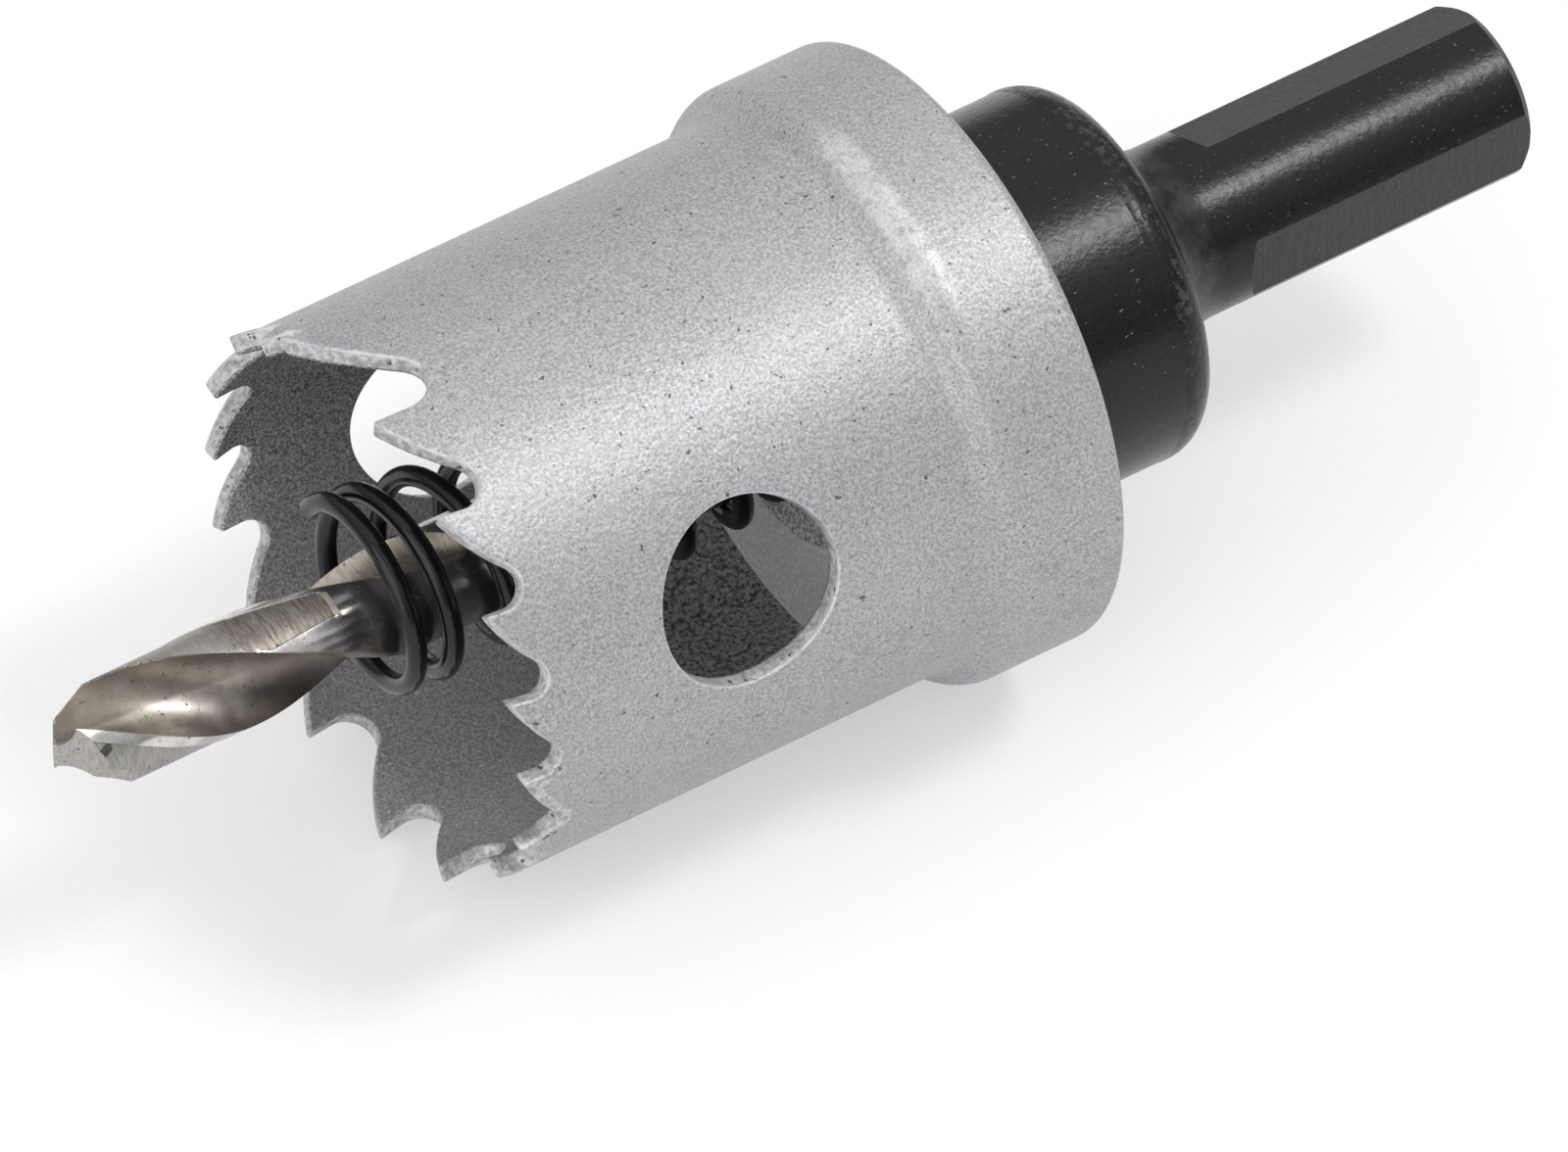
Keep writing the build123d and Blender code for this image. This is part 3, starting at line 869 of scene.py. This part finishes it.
# %% A round wire along a curve
WIRE_SIDES = 24


def curve_through(name, path):
    """Return a curve object through these points."""
    curve = bpy.data.curves.new(name, "CURVE")
    curve.dimensions = "3D"
    spline = curve.splines.new("POLY")
    spline.points.add(len(path) - 1)
    spline.points.foreach_set("co", [number for point in path for number in (*point, 1)])
    return in_scene(name, curve)


def swept_tree(radius, sides):
    """Return the tree and its geometry: a round wire with closed ends along a curve."""
    tree = Shape("wire", {"Wire radius": radius * MM})
    ring = tree.node("GeometryNodeCurvePrimitiveCircle", {"mode": "RADIUS"}, {"Resolution": sides})
    tree.tree.links.new(tree.size[0].socket, ring.socket.node.inputs["Radius"])
    tube = tree.node("GeometryNodeCurveToMesh", None, {0: tree.start, 1: ring, "Fill Caps": True})
    return tree, tree.node("GeometryNodeSetShadeSmooth", None, {0: tube})


# %% [markdown]
# ## Black wire
# The wire is blackened and oiled, so it is darker than paint and shines in long streaks. A
# flat black would look cut out. A faint grain in its colour and its gloss is enough.

# %% Black wire


def black_wire():
    """Return the satin black of the spring."""
    wire = Finish("black_wire")
    grain = wire.noise(0.5, 3)
    colour = wire.mix(grain, 0.003, 0.01)
    return wire.wear(
        base_color=colour, metallic=0.0, roughness=grain * 0.2 + 0.1, specular_ior_level=0.35)


wire, swept = swept_tree(WIRE_RADIUS, WIRE_SIDES)
spring = wire.run(swept, black_wire(), curve_through("spring_path", spring_path()), "spring_wire")
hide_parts("ejector_spring")
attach(spring, "root")

# %% [markdown]
# ## The pilot drill
# A twist drill is ground from a round rod. Two flutes run round it, their lands are relieved
# behind a narrow margin, the point is ground to flat flanks, and the flutes run out where the
# grinding wheel leaves the rod. The mesh is one section, worked out at each height and turned
# with the helix, so that its rows of faces follow every edge. Each column ends on the flanks.

# %% Sizes of the drill
POINT_HEIGHT = 56.6
POINT_HALF_ANGLE = 70.0
LIP_RELIEF = 0.5
HEEL_RELIEF = 2.4
HEEL_OFFSET = 1.9
WORN_CORNER_ANGLE = 154.0
WORN_CORNER_START = 2.2
CORNER_WEAR = 1.2
HELIX_LEAD = 35.3
FLUTE_ANGLE = 17.5
FLUTE_ANGLE_HEIGHT = 54.7
FLUTE_HALF_ANGLE = 51.5
WEB_HALF = 0.55
MARGIN_ANGLE = 15.0
LAND_RELIEF = 0.1
RELIEF_NARROWS = 44.5
RELIEF_END = 39.9
RIM_WIDTH = 0.3
LOW_BOUND_RISE = 11.6
HIGH_BOUND_RISE = 4.7
RUN_OUT_START = 46.2
RUN_OUT_END = 31.4
RUN_OUT_DRIFT = 1.55
SHANK_BOTTOM = -10.0
BODY_TOP = 51.5
FLAT_MIDDLE = -4.4
FLAT_HALF = 3.25
FLAT_DISTANCE = 2.6
FLAT_DIRECTION = 147.3
print(f"drill: {POINT_HEIGHT - SHANK_BOTTOM:.1f} mm long, {2 * DRILL_RADIUS:.1f} mm thick")

# %% One section of the drill
FLUTE_POINTS, STRIP_POINTS, HOLLOW_POINTS, MARGIN_POINTS = 37, 5, 14, 6
FLUTE, MARGIN, HOLLOW, POINT = 0, 1, 2, 3

reach = DRILL_RADIUS * cos(radians(FLUTE_HALF_ANGLE))
flute_centre = (DRILL_RADIUS ** 2 - WEB_HALF ** 2) / (2 * (reach - WEB_HALF))
flute_radius = flute_centre - WEB_HALF
depth = DRILL_RADIUS - WEB_HALF
wheel_radius = ((RUN_OUT_START - RUN_OUT_END) ** 2 + depth ** 2) / (2 * depth)


def half_section(height):
    """Return half of the drill's section, from one flute over its land, and what each point is."""
    rise = max(0, RUN_OUT_START - max(height, RUN_OUT_END))
    drift = RUN_OUT_DRIFT * rise
    centre = flute_centre + wheel_radius - sqrt(max(0, wheel_radius ** 2 - rise ** 2))
    narrowed = min(max(0, RELIEF_NARROWS - height), RELIEF_NARROWS - RELIEF_END)
    land = DRILL_RADIUS - (LAND_RELIEF if height > RELIEF_END else 0)
    strip_radius = DRILL_RADIUS if narrowed else land
    ends = []
    for radius in (DRILL_RADIUS, strip_radius):
        cosine = (centre ** 2 + flute_radius ** 2 - radius ** 2) / (2 * centre * flute_radius)
        ends.append(np.arccos(np.clip(cosine, -1, 1)))
    turns = np.linspace(-ends[0], ends[1], FLUTE_POINTS)
    flute = centre - flute_radius * np.exp(-1j * turns)
    over = np.abs(flute) > DRILL_RADIUS
    flute[over] *= DRILL_RADIUS / np.abs(flute[over])
    lip, heel = np.degrees(np.angle(flute[[0, -1]]))
    low = FLUTE_HALF_ANGLE + LOW_BOUND_RISE * narrowed - drift
    low = max(low, heel + 3) if narrowed else heel
    high = 180 - FLUTE_HALF_ANGLE - MARGIN_ANGLE + HIGH_BOUND_RISE * narrowed - drift
    high = min(high, 178 + lip)
    bounds = (
        (heel, low - 1 if narrowed else low, STRIP_POINTS),
        (low, high, HOLLOW_POINTS),
        (high + 1, 180 + lip, MARGIN_POINTS))
    strip, hollow, margin = [np.exp(1j * np.radians(np.linspace(*bound))) for bound in bounds]
    parts = (
        (flute, FLUTE),
        (strip[1:] * strip_radius, MARGIN if narrowed else HOLLOW),
        (hollow * land, HOLLOW if height > RELIEF_END - RIM_WIDTH else MARGIN),
        (margin[:-1] * DRILL_RADIUS, MARGIN))
    points = np.concatenate([part for part, _ in parts])
    return points, np.concatenate([np.full(len(part), float(kind)) for part, kind in parts])


def turned_section(height):
    """Return the whole section at this height as points over the axis, turned by the helix."""
    half, kinds = half_section(height)
    height = max(height, RUN_OUT_END)
    turn = FLUTE_ANGLE + 360 * (height - FLUTE_ANGLE_HEIGHT) / HELIX_LEAD
    turn += RUN_OUT_DRIFT * max(0, RUN_OUT_START - height)
    return np.concatenate((half, -half)) * np.exp(1j * radians(turn)), np.tile(kinds, 2)


print(f"flute: {flute_radius:.2f} mm in radius, run out by a wheel of {wheel_radius:.1f} mm")

# %% Flanks of the point


def under_flanks(points):
    """Return how high the ground point of the drill is over these points of the section."""
    heights = []
    slope = 1 / np.tan(radians(POINT_HALF_ANGLE))
    for side in (0, 180):
        lip = np.exp(1j * radians(FLUTE_ANGLE - FLUTE_HALF_ANGLE + side))
        out = (points * np.conj(lip)).real
        back = (points * np.conj(lip * -1j)).real
        heights.append(POINT_HEIGHT - out * slope - back * LIP_RELIEF)
        lift = HEEL_OFFSET * (HEEL_RELIEF - LIP_RELIEF)
        heights.append(POINT_HEIGHT + lift - out * slope - back * HEEL_RELIEF)
    towards_worn = (points * np.exp(-1j * radians(WORN_CORNER_ANGLE))).real
    worn = np.maximum(towards_worn - WORN_CORNER_START, 0) * CORNER_WEAR
    return np.minimum.reduce(heights) - worn


print(f"chisel edge at a height of {under_flanks(np.array([0j]))[0]:.1f} mm")

# %% [markdown]
# ### Rows of the drill
# Every section has the same number of points, so the rows join to plain four-sided faces. The
# rows lie closer where the flutes and the lands change. Above the body, each column is followed
# along the helix until it meets the flanks, found by halving.

# %% Rows up to the body
SHANK_HEIGHTS = (5, 12, 20, 26, 30)
ROW_STEP = 0.16
FLAT_EDGE_GAP = 0.01
RELIEF_EDGE_GAP = 0.02


def body_rows():
    """Return the points, the height and the kinds of each row of the rod and the flutes."""
    flat_ends = (FLAT_MIDDLE - FLAT_HALF, FLAT_MIDDLE + FLAT_HALF)
    heights = [
        SHANK_BOTTOM, flat_ends[0] - FLAT_EDGE_GAP, *flat_ends, flat_ends[1] + FLAT_EDGE_GAP,
        *SHANK_HEIGHTS,
        *np.arange(RUN_OUT_END - 0.6, RELIEF_END - 0.1, ROW_STEP),
        RELIEF_END - RELIEF_EDGE_GAP, RELIEF_END + RELIEF_EDGE_GAP,
        *np.arange(RELIEF_END + 0.2, BODY_TOP, ROW_STEP)]
    away = np.exp(1j * radians(FLAT_DIRECTION))
    rows = []
    for height in heights:
        row, kinds = turned_section(height)
        if flat_ends[0] <= height <= flat_ends[1]:
            row = row - np.maximum((row * np.conj(away)).real - FLAT_DISTANCE, 0) * away
        rows.append((row, np.full(len(row), height), kinds))
    return rows


# %% Rows up to the flanks
HALVINGS = 40
POINT_ROWS = 26


def point_rows():
    """Return the same for the rows between the body and the ground flanks."""
    base, kinds = turned_section(BODY_TOP)
    twist = 2 * pi / HELIX_LEAD
    low, high = np.full(len(base), BODY_TOP), np.full(len(base), POINT_HEIGHT + 1)
    for _ in range(HALVINGS):
        middle = (low + high) / 2
        above = middle > under_flanks(base * np.exp(1j * twist * (middle - BODY_TOP)))
        low, high = np.where(above, low, middle), np.where(above, middle, high)
    rows = []
    for share in np.linspace(0, 1, POINT_ROWS):
        height = BODY_TOP + (low - BODY_TOP) * share
        rows.append((base * np.exp(1j * twist * (height - BODY_TOP)), height, kinds))
    return rows


# %% Cap over the point
CAP_STEP = 0.08
CAP_CLEARANCE = 0.04


def cap_over(rim):
    """Return the points on the flanks inside this rim, with their heights, and their triangles."""
    side = np.arange(-DRILL_RADIUS, DRILL_RADIUS, CAP_STEP)
    grid = np.column_stack([axis.ravel() for axis in np.meshgrid(side, side * ROW_RATIO)])
    grid[:, 0] += CAP_STEP / 2 * (np.round(grid[:, 1] / (CAP_STEP * ROW_RATIO)) % 2)
    starts, ends = rim, np.roll(rim, -1, 0)
    grid = grid[enclosed(grid, starts, ends)]
    clear = np.abs(grid[:, None] - rim).max(2).min(1) > CAP_CLEARANCE
    cap, triangles = filled([rim], grid[clear])
    triangles = triangles[enclosed(cap[triangles].mean(1), starts, ends)]
    return np.column_stack((cap, under_flanks(cap[:, 0] + 1j * cap[:, 1]))), triangles.tolist()


# %% The drill's mesh


def drill_mesh():
    """Return the drill as rows of points up to its point, which is closed with fine triangles."""
    rows, heights, kinds = zip(*body_rows(), *point_rows())
    count = len(rows[0])
    cap, triangles = cap_over(np.column_stack((rows[-1].real, rows[-1].imag)))
    on_rows = np.concatenate(rows)
    sides = np.column_stack((on_rows.real, on_rows.imag, np.concatenate(heights)))
    faces = []
    for row in range(count, len(on_rows), count):
        for column in range(count):
            after = (column + 1) % count
            faces.append((row - count + column, row - count + after, row + after, row + column))
    faces.append(tuple(range(count))[::-1])
    faces += [tuple(len(on_rows) + i for i in triangle) for triangle in triangles]
    mesh = bpy.data.meshes.new("drill")
    points = np.vstack((sides, cap))
    places = [Vector((REAR_X - z, y, AXIS_HEIGHT + x)) * MM for x, y, z in points]
    mesh.from_pydata(places, [], faces)
    numbers(mesh, "kind", np.concatenate((*kinds, np.full(len(cap), float(POINT)))))
    return mesh


# %% Closed and sharp at its edges
CREASE_ANGLE = 18


def closed_and_creased(mesh):
    """Join points that lie together, turn the faces out and keep the sharper edges sharp."""
    work = bmesh.new()
    work.from_mesh(mesh)
    bmesh.ops.remove_doubles(work, verts=work.verts, dist=1e-7)
    bmesh.ops.recalc_face_normals(work, faces=work.faces)
    loose = sum(not edge.is_manifold for edge in work.edges)
    work.to_mesh(mesh)
    work.free()
    mesh.shade_smooth()
    mesh.set_sharp_from_angle(angle=radians(CREASE_ANGLE))
    print(f"{mesh.name}: {len(mesh.vertices)} points, {len(mesh.polygons)} faces, {loose} open edges")


drill_shape = drill_mesh()
closed_and_creased(drill_shape)

# %% [markdown]
# ### Steel of the drill
# The rod is ground bright, the flutes have turned bronze from heat, the relieved lands are rough
# and dark, and the point is grey. Each point of the mesh keeps what it is, as a number from 0
# to 3, so one material can give each kind its colour. Marks at a height of their own are added
# on top.

# %% Rod and flutes
RUN_OUT_AND_DARK_REFLECTION_HEIGHT = 40
DARK_REFLECTION_START, DARK_REFLECTION_FULL = 47.5, 43.5


def ground_rod(steel, cloud):
    """Return the bright colour of the ground rod, darker below the lands as a painted dark reflection.
    """
    ground = steel.mix(cloud.steps(0.3, 0.7), (0.46, 0.45, 0.435), (0.68, 0.665, 0.65))
    rod = steel.mix(cloud.steps(0.3, 0.7), (0.22, 0.215, 0.205), (0.44, 0.43, 0.415))
    # Painted dark reflection: the rod below the lands is darkened, as it reflects the dark
    # surroundings.
    below = steel.height.steps(RUN_OUT_AND_DARK_REFLECTION_HEIGHT + 0.6, RUN_OUT_AND_DARK_REFLECTION_HEIGHT - 0.6)
    return steel.mix(below, ground, rod)


def flute_with_dark_reflection(steel, cloud):
    """Return the bronze of the flutes, darkened along one side and towards their end by a painted dark
    reflection.
    """
    bronze = steel.mix(cloud.steps(0.3, 0.75), (0.34, 0.305, 0.265), (0.56, 0.52, 0.47))
    in_flute = (steel.turn - FLUTE_ANGLE) * radians(2)
    in_flute = in_flute - (steel.height - FLUTE_ANGLE_HEIGHT) * (4 * pi / HELIX_LEAD)
    # Painted dark reflection: the flute is darkened along one side and towards its end.
    dark_reflection = in_flute.math("SINE").steps(0.2, 1.0) * 0.65
    dark_reflection = dark_reflection.math("MAXIMUM", steel.height.steps(DARK_REFLECTION_START, DARK_REFLECTION_FULL) * 0.75)
    return steel.mix(dark_reflection, bronze, (0.15, 0.122, 0.095))


# %% Rough lands
TIP_LAND_HEIGHT = 48
LAND_REFLECTION_HEIGHT = 54.9
LAND_REFLECTION_ANGLE = -57
LAND_REFLECTION_SLANT = 9


def rough_lands(steel, lines, beige):
    """Return the hatched colour of the lands, paler at the tip, with a painted highlight band and a
    painted dark reflection by the lip.
    """
    hatched = steel.mix(lines.steps(0.3, 0.7), (0.17, 0.145, 0.125), (0.33, 0.3, 0.27))
    tip_land = steel.mix(lines.steps(0.3, 0.7), (0.3, 0.29, 0.275), (0.42, 0.405, 0.385))
    land = steel.mix(steel.height.steps(TIP_LAND_HEIGHT - 3, TIP_LAND_HEIGHT), hatched, tip_land)
    # Painted highlight: a pale band across the lands.
    pale = steel.height.band(TIP_LAND_HEIGHT, 1.5, 1.5) * 0.25
    land = steel.mix(pale, land, (0.6, 0.59, 0.57))
    past_relief = steel.height.steps(RELIEF_END + RELIEF_EDGE_GAP, RELIEF_END - RELIEF_EDGE_GAP)
    land = steel.mix(past_relief, land, beige)
    # Painted dark reflection: a dark patch on the land by the lip.
    across_reflection = (steel.turn - LAND_REFLECTION_ANGLE) + (steel.height - LAND_REFLECTION_HEIGHT) * LAND_REFLECTION_SLANT
    land_dark_reflection = steel.height.band(LAND_REFLECTION_HEIGHT, 0.45, 0.1) * across_reflection.band(0, 5, 1)
    return steel.mix(land_dark_reflection * 0.8, land, (0.05, 0.045, 0.04))


# %% Finish of the drill


def drill_steel():
    """Return bright ground steel with bronze flutes, rough lands and a grey point."""
    steel = Finish("drill_steel")
    kind = steel.kept("kind")
    flute = kind.steps(0.9, 0.1)
    land = kind.steps(1.3, 1.7)
    point = kind.steps(2.6, 2.9)
    run_out = steel.height.steps(RUN_OUT_AND_DARK_REFLECTION_HEIGHT + 1.5, RUN_OUT_AND_DARK_REFLECTION_HEIGHT - 1.5)
    cloud = steel.noise(1.6, 3)
    dirt = steel.noise(0.3, seed=2).steps(0.64, 0.74)
    across = steel.combine(steel.height * 9, steel.turn * radians(3) * 1.2, steel.radius * 1.2)
    lines = steel.noise(1.0, at=across)
    around = steel.combine(steel.height * 12, steel.turn * 0.02, 0)
    round_lines = steel.noise(1.0, at=around)
    beige = steel.mix(lines.steps(0.3, 0.7), (0.42, 0.37, 0.31), (0.6, 0.55, 0.48))
    grey = steel.mix(lines.steps(0.3, 0.7), (0.34, 0.325, 0.305), (0.46, 0.44, 0.42))
    in_flute = steel.mix(run_out, flute_with_dark_reflection(steel, cloud), beige)
    colour = steel.mix(flute, ground_rod(steel, cloud), in_flute)
    colour = steel.mix(land, colour, rough_lands(steel, lines, beige))
    colour = steel.mix(point, colour, grey)
    colour = steel.mix(dirt * 0.7, colour, (0.06, 0.045, 0.035))
    rough = flute * 0.21 + land * 0.3 + dirt * 0.2 + cloud * 0.06 + 0.14
    relief = lines * (land + flute * run_out) * 0.006 + round_lines * 0.0015 - dirt * 0.006
    return steel.wear(base_color=colour, metallic=0.92, roughness=rough, normal=steel.bump(relief))


drill_shape.materials.append(drill_steel())
drill = in_scene("drill_body", drill_shape)
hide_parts("pilot_drill")
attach(drill, "root")

# %% [markdown]
# ## Blackened steel
# The arbor is oxidised black, which stays thin and shiny. It has a painted brownish highlight on the
# neck, is paler on the ground flats, chipped at the collar's rear edge, dusty all over, and bare and
# grey where the nose stands in the cup, with a painted highlight along the nose's rim. Each mark is a
# band of height times a noise, laid over the black in turn, so that one can be moved without the
# others.

# %% Marks on the arbor
NECK_HEIGHT = -12.4
COLLAR_EDGE_HEIGHT = -8.9
FLATS_START = -16
SHANK_RADIUS = 5


def neck_highlight_and_ground(steel, black, cloud, lines):
    """Return the black with a painted brownish highlight on the neck and the ground flats, and where
    the flats are.
    """
    # Painted highlight: a brownish band round the neck.
    neck = steel.height.band(NECK_HEIGHT, 1.6, 0.8) * cloud.steps(0.3, 0.7)
    colour = steel.mix(neck * 0.13, black, (0.3, 0.27, 0.245))
    flat = steel.radius.steps(SHANK_RADIUS - 0.01, SHANK_RADIUS - 0.04)
    flat = flat * steel.height.steps(FLATS_START, FLATS_START - 0.2)
    ground = steel.mix(lines.steps(0.3, 0.7), (0.027, 0.027, 0.028), (0.045, 0.044, 0.044))
    return steel.mix(flat, colour, ground), flat


def dusty(steel, colour):
    """Return the colour under dust and a few slanted scratches."""
    slant = steel.height * 2.6 + steel.turn * 0.08
    slanted = steel.combine(slant, steel.turn * 0.9, steel.radius * 2)
    scratch = steel.noise(1.0, 1, 0.5, at=slanted, seed=4).steps(0.73, 0.77)
    dust = steel.noise(0.3, seed=2).steps(0.73, 0.78)
    return steel.mix(dust.math("MAXIMUM", scratch) * 0.3, colour, (0.5, 0.49, 0.48))


# %% Blackened steel
BARE_NOSE_HEIGHT = 10.1
NOSE_RIM_RADIUS = 7.7


def blackened_steel():
    """Return the black oxide of the arbor, with bare grey inside the cup and dust outside."""
    steel = Finish("blackened_steel")
    grain = steel.noise(0.35, 4)
    cloud = steel.noise(1.5, 3, seed=8)
    lines = steel.noise(1.0, at=steel.combine(steel.height * 9, steel.across, steel.up))
    speck = steel.noise(0.24, 2, 0.65, seed=7)
    oxide = steel.mix(grain, (0.003, 0.003, 0.0035), (0.012, 0.0118, 0.0125))
    colour, flat = neck_highlight_and_ground(steel, oxide, cloud, lines)
    chipped = steel.height.band(COLLAR_EDGE_HEIGHT, 0.5, 0.25) * cloud.steps(0.45, 0.6)
    chips = steel.noise(0.6, 3, 0.65, seed=10).steps(0.5, 0.58) * chipped
    colour = dusty(steel, steel.mix(chips * 0.6, colour, (0.085, 0.078, 0.072)))
    nose = steel.height.steps(BARE_NOSE_HEIGHT, BARE_NOSE_HEIGHT + 0.2)
    # Painted highlight: a bright line along the nose's chamfered rim, seen through the window.
    nose_rim_highlight = nose * steel.radius.band(NOSE_RIM_RADIUS, 0.2, 0.08)
    bare = steel.mix(nose_rim_highlight, steel.mix(speck.steps(0.4, 0.62), 0.3, 0.9), 0.85)
    relief = grain * 0.022 + lines * flat * 0.003 - chips * 0.04 + speck * nose * 0.02
    return steel.wear(
        base_color=steel.mix(nose, colour, bare), metallic=nose * 0.35,
        roughness=grain * 0.2 + flat * 0.22 + nose * 0.15 + chips * 0.2 + 0.15,
        specular_ior_level=0.31, normal=steel.bump(relief))


# %% [markdown]
# ## The pieces that keep their CAD shape
# Base plate, arbor and grub screw are turned and milled, and the CAD already has those shapes.
# Making them again would only risk a gap between them, so they just get their finish.

# %% Finish of the CAD pieces


def finish_node(name, material):
    """Give a CAD node its material."""
    slots = frame["nodes"][name].data.materials
    slots.clear()
    slots.append(material)
    print(f"{name}: {material.name}")


black = blackened_steel()
finish_node("base_plate", paint)
finish_node("arbor", black)
finish_node("set_screw", black)
